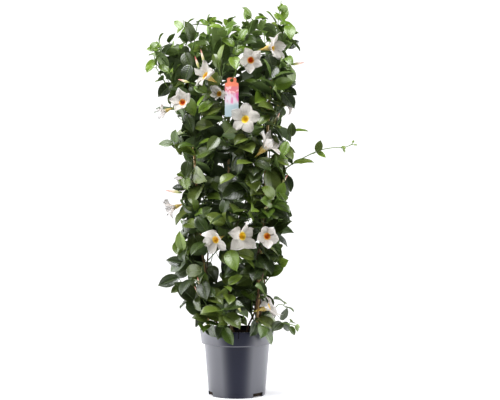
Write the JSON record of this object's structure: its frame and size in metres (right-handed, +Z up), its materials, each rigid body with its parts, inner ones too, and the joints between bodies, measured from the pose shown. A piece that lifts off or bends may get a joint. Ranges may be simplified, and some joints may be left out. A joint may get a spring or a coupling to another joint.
{
  "type": "potted mandevilla",
  "caption": "Tall climbing plant with glossy green leaves, white trumpet flowers and furled buds, trained up canes in a round nursery pot with a hanging tag.",
  "frame": {"origin": "middle of the underside of the pot", "axes": "+Z up along the pot's axis; -Y is the front, the side that carries the tag and faces the camera"},
  "size_m": [0.6267, 0.3948, 1.1647],
  "materials": {
    "pot": "satin",
    "soil": "matte, crumbly",
    "cane": "satin",
    "leaf": "glossy",
    "petal": "matte",
    "bud": "satin",
    "tag": "satin"
  },
  "bodies": {
    "root": {"pot": "pot", "soil": "soil", "cane_left": "cane", "cane_right": "cane", "cane_back": "cane", "tag": "tag", "bloom_01": "petal", "bloom_02": "petal", "bloom_03": "petal", "bloom_04": "petal", "bloom_05": "petal", "bloom_06": "petal", "bloom_07": "petal", "bloom_08": "petal", "bloom_09": "petal", "bloom_10": "petal", "bloom_11": "petal", "bloom_12": "petal", "bloom_13": "petal", "bloom_14": "petal", "bloom_15": "petal", "bloom_16": "petal", "bloom_17": "petal", "bud_01": "bud", "bud_02": "bud", "bud_03": "bud", "bud_04": "bud", "bud_05": "bud", "bud_06": "bud", "bud_07": "bud", "bud_08": "bud", "bud_09": "bud", "bud_10": "bud", "bud_11": "bud", "bud_12": "bud", "vine_left_low": "leaf", "vine_left_high": "leaf", "vine_right_low": "leaf", "vine_right_high": "leaf", "vine_back_low": "leaf", "vine_back_high": "leaf", "vine_front": "leaf", "vine_right_back": "leaf", "vine_left_back": "leaf"}
  },
  "joints": []
}
